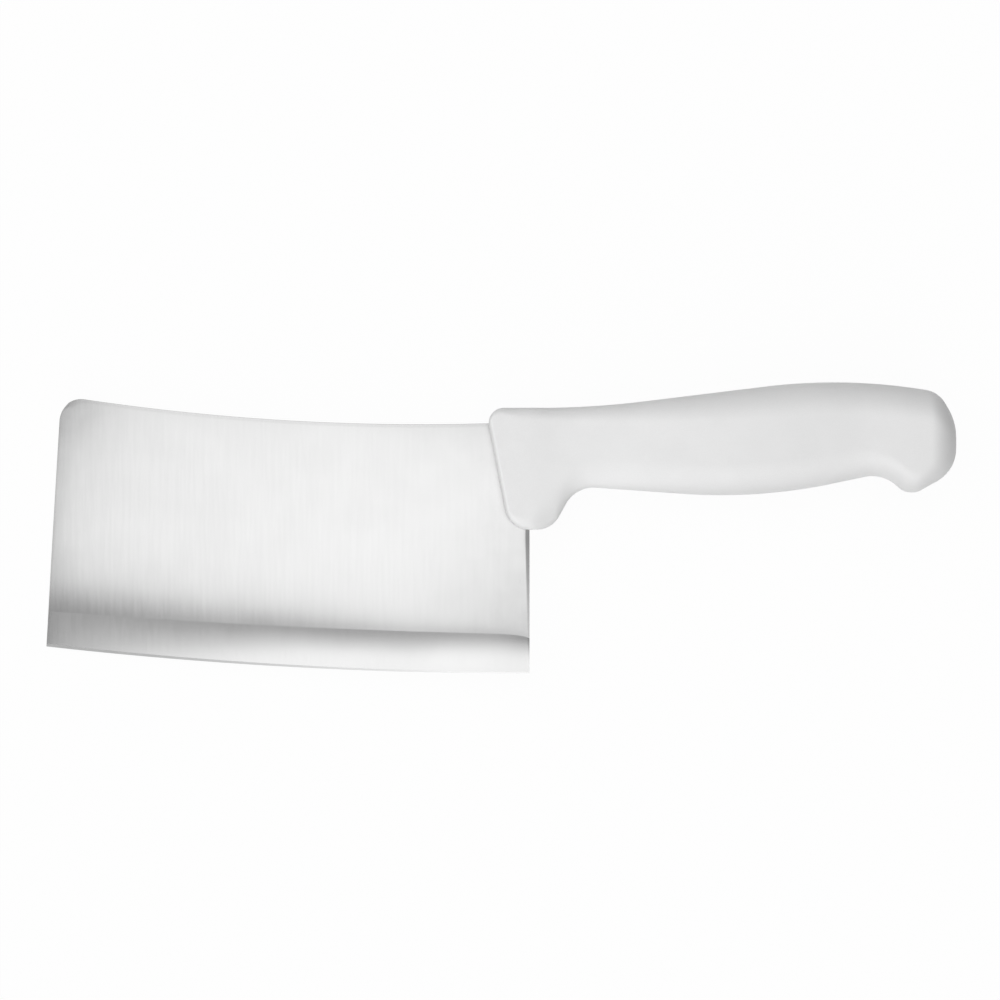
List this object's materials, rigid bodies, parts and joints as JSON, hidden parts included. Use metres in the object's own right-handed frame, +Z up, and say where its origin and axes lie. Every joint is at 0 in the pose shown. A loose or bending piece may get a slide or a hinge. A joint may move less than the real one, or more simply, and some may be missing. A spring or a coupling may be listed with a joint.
{
  "type": "cleaver",
  "caption": "Kitchen cleaver with a broad rectangular ground steel blade and a moulded white plastic handle with a finger guard and a hooked butt, for chopping and portioning.",
  "frame": {"origin": "under the middle of the cleaver's box, at the height of the lowest point of the handle's side", "axes": "the cleaver lies on its side: +X from the blade's tip to the butt of the handle, +Y from the cutting edge to the spine, +Z up through the flat of the blade"},
  "size_m": [0.2868, 0.0918, 0.024],
  "materials": {
    "blade_steel": "satin stainless steel, brushed from spine to edge, with a ground bevel along the cutting edge",
    "handle_plastic": "white injection-moulded polypropylene with a fine satin grain"
  },
  "bodies": {
    "root": {"blade": "blade_steel", "handle": "handle_plastic"}
  },
  "joints": []
}
